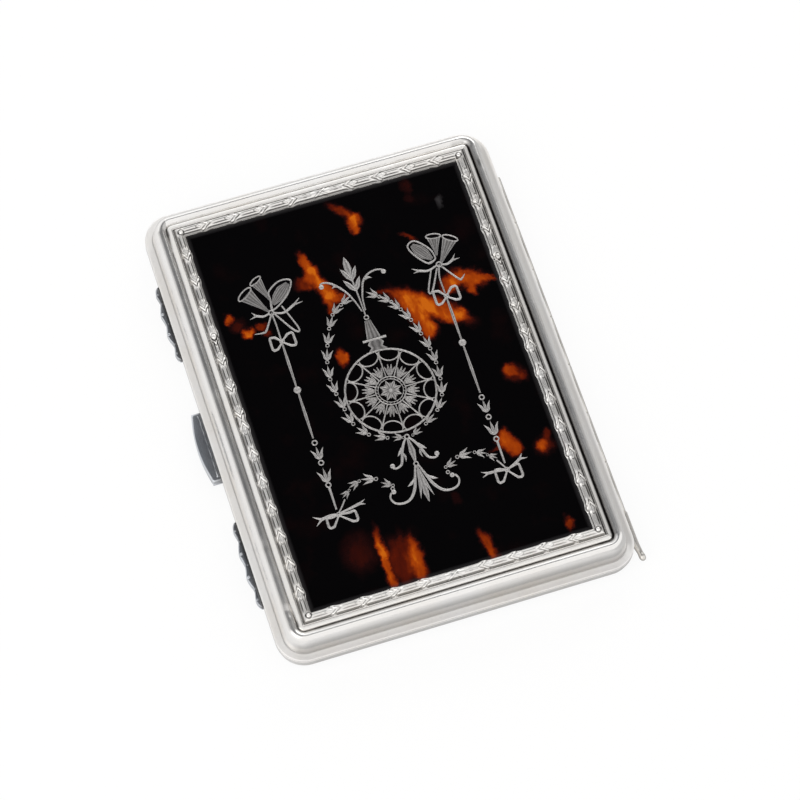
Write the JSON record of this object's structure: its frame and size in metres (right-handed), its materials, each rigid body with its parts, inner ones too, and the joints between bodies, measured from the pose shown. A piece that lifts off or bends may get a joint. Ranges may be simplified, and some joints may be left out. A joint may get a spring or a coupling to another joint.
{
  "type": "card case",
  "caption": "Slim hinged metal card case with a framed tortoiseshell lid panel, ribbon-tied moulding, inlaid urn and garland ornament, side push catch and end mounts.",
  "frame": {"origin": "centre of the flat back, at the height of the surface the case lies on", "axes": "+X towards the hinge, -X the push catch, +Y along the length towards the top of the ornament, +Z out of the lid"},
  "size_m": [0.0804, 0.104, 0.0117],
  "materials": {
    "silver": "polished silver with light wear",
    "hinge_silver": "satin silver, darker in the joints",
    "mount_metal": "polished silver that mirrors a dark room",
    "moulding_silver": "bright cast silver with dark recesses",
    "inlay_silver": "engraved silver inlay, slightly tarnished",
    "spring_steel": "brushed spring steel",
    "tortoiseshell": "polished, near black with amber clouds",
    "lining": "watered silk, lightly padded"
  },
  "bodies": {
    "base": {"base_shell": "silver", "base_rim": "silver", "base_hinge": "hinge_silver", "hinge_pin": "hinge_silver", "base_lining": "lining", "catch_housing": "silver", "upper_side_mount": "mount_metal", "lower_side_mount": "mount_metal"},
    "push_button": {"push_piece": "mount_metal", "catch_hook": "hinge_silver", "catch_spring": "spring_steel"},
    "lid": {"lid_shell": "silver", "lid_hinge": "hinge_silver", "moulding_top": "moulding_silver", "moulding_bottom": "moulding_silver", "moulding_left": "moulding_silver", "moulding_right": "moulding_silver", "corner_beads": "moulding_silver", "tortoiseshell_panel": "tortoiseshell", "panel_backing": "silver", "backing_tabs": "silver", "lid_lining": "lining", "lid_keeper": "hinge_silver", "inlay_roundel": "inlay_silver", "inlay_garland": "inlay_silver", "inlay_urn_spray": "inlay_silver", "inlay_left_drop": "inlay_silver", "inlay_right_drop": "inlay_silver", "inlay_bows": "inlay_silver", "inlay_swags": "inlay_silver", "inlay_scrolls": "inlay_silver"}
  },
  "joints": [
    {"name": "lid_hinge_joint", "type": "hinge", "parent": "base", "child": "lid", "pos_m": [0.03775, 0, 0.0041], "axis": [0, 1, 0], "range_deg": [0, 100]},
    {"name": "push_slide", "type": "slide", "parent": "base", "child": "push_button", "axis": [1, 0, 0], "range_m": [0, 0.0009], "stiffness_N_per_m": 600, "springref_m": -0.001}
  ]
}
